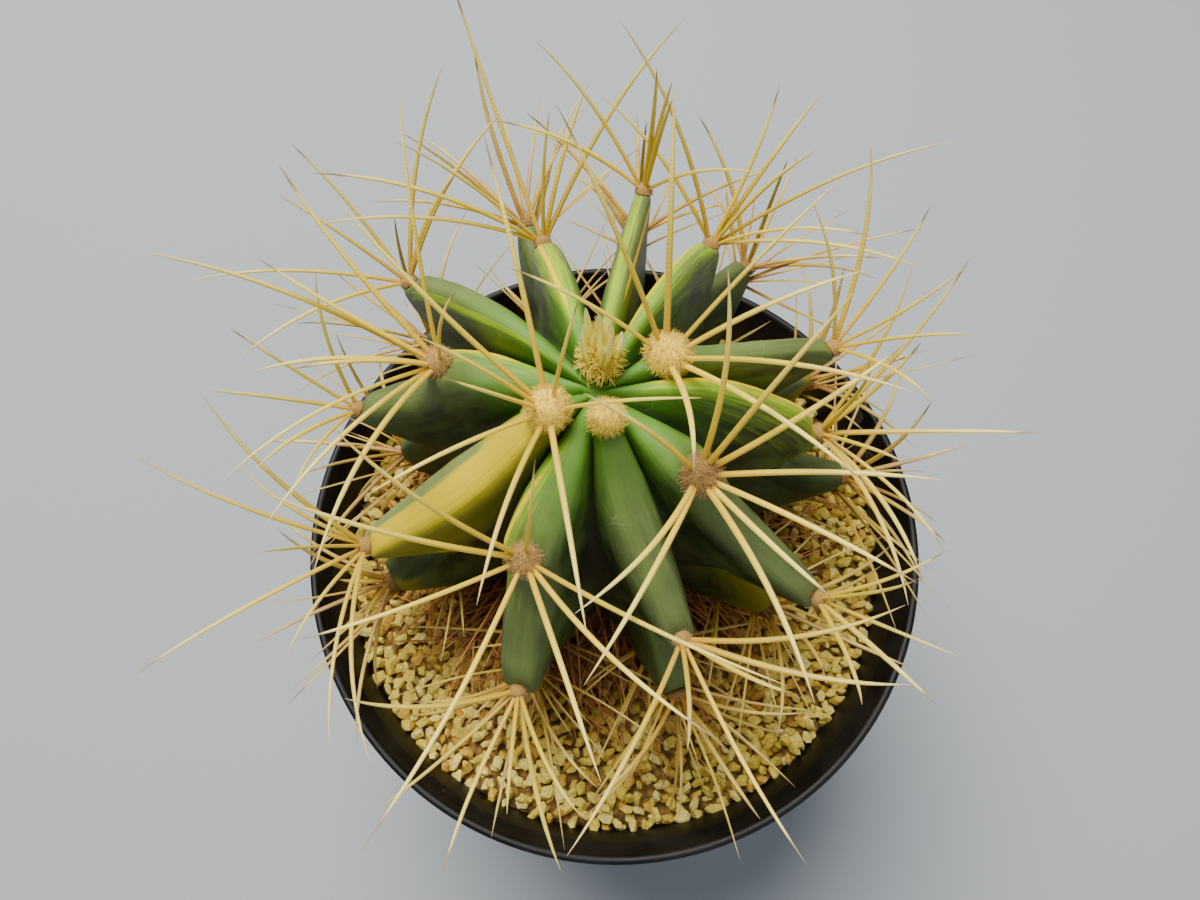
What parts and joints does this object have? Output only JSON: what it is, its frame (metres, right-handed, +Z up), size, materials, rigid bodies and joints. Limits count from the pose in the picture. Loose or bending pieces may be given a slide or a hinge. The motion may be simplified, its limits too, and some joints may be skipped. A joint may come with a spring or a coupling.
{
  "type": "potted ferocactus chrysacanthus",
  "caption": "Variegated barrel cactus with long finger-like tubercles, woolly areoles and straw-yellow spines, standing in grit in a round black plastic nursery pot.",
  "frame": {"origin": "middle of the pot's underside, on the surface that it stands on", "axes": "+Z up along the pot's axis; -Y towards the side seen nearest in the picture, +X to its right"},
  "size_m": [0.1221, 0.1228, 0.1646],
  "materials": {
    "pot": "satin black",
    "soil": "crumbly dark brown",
    "gravel": "pale yellow-tan angular grit",
    "stem": "waxy grey-green skin with yellow variegation",
    "wool": "cream felted wool",
    "spines": "smooth straw-yellow horn, amber at the root and ivory at the tip"
  },
  "bodies": {
    "root": {"pot": "pot", "soil": "soil", "gravel": "gravel", "stem": "stem", "areole_k_young": "spines", "areole_i_young": "spines", "areole_f_young": "spines", "areole_e_young": "spines", "areole_d_young": "spines", "areole_c_young": "wool", "areole_b_young": "spines", "areole_a_outer": "spines", "areole_k_outer": "spines", "areole_j_outer": "spines", "areole_i_outer": "spines", "areole_h_outer": "spines", "areole_g_outer": "spines", "areole_f_outer": "spines", "areole_e_outer": "spines", "areole_d_outer": "spines", "areole_c_outer": "spines", "areole_b_outer": "spines", "areole_a_low": "spines", "areole_k_low": "spines", "areole_j_low": "spines", "areole_i_low": "spines", "areole_h_low": "spines", "areole_g_low": "spines", "areole_f_low": "spines", "areole_e_low": "spines", "areole_d_low": "spines", "areole_c_low": "spines", "areole_b_low": "spines"}
  },
  "joints": []
}
